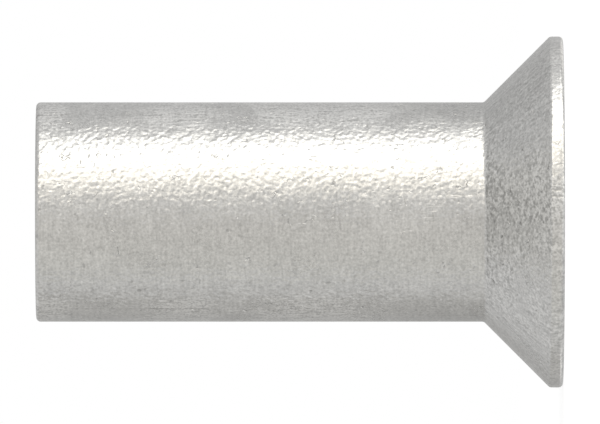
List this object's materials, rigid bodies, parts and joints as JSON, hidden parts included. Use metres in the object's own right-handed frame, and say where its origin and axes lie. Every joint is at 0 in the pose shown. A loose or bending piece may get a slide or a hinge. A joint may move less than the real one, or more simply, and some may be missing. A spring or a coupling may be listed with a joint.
{
  "type": "sleeve nut",
  "caption": "Sleeve nut with a flat countersunk head, a hexagon socket in the head and a blind metric thread in its plain round sleeve.",
  "frame": {"origin": "centre of the head's flat face, which is the mouth of the hexagon socket and the face that the nut stands on", "axes": "+Z along the nut's axis, from the head towards the open end of the sleeve; +X towards a corner of the hexagon socket"},
  "size_m": [0.008, 0.008, 0.012],
  "materials": {
    "steel": "satin bare steel, barrel-finished, with fine mottle and light scuffs"
  },
  "bodies": {
    "root": {"sleeve_nut": "steel"}
  },
  "joints": []
}
